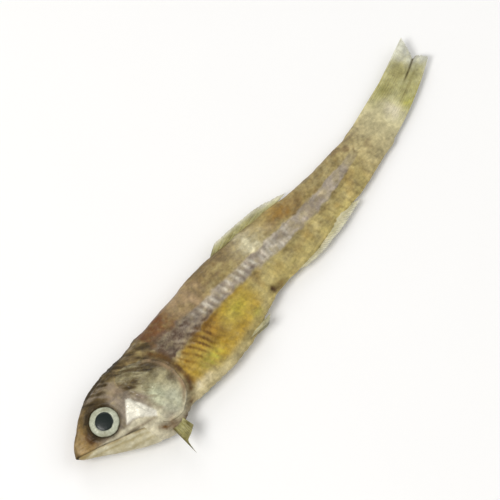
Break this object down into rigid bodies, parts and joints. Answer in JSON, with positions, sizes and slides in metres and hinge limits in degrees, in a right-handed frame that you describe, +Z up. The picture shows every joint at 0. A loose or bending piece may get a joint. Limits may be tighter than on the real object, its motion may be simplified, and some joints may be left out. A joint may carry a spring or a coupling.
{
  "type": "dried sprat",
  "caption": "Small whole dried fish lying on its side, with a slim round-backed body, a large eye, thin gill covers, an angled lower jaw and papery folded fins.",
  "frame": {"origin": "under the middle of the fish's bounding box, on the surface that it lies on", "axes": "+X along the fish from snout to tail, +Y from belly to back, +Z up from the right flank, which lies on the surface, to the left flank"},
  "size_m": [0.085, 0.0212, 0.0058],
  "materials": {
    "skin": "dried oily fish skin, translucent, semi-gloss, silver along the side",
    "gill_plate": "thin pearly bone under dried skin, gloss",
    "jaw": "dried skin over bone, semi-gloss",
    "eye": "wet gloss, pale iris, near-black pupil",
    "fin_web": "papery translucent membrane over fine rays"
  },
  "bodies": {
    "root": {"body": "skin", "left_eye": "eye", "right_eye": "eye", "left_gill_cover": "gill_plate", "right_gill_cover": "gill_plate", "lower_jaw": "jaw", "dorsal_fin": "fin_web", "anal_fin": "fin_web", "tail_fin": "fin_web", "left_pectoral_fin": "fin_web", "right_pectoral_fin": "fin_web", "left_pelvic_fin": "fin_web", "right_pelvic_fin": "fin_web"}
  },
  "joints": []
}
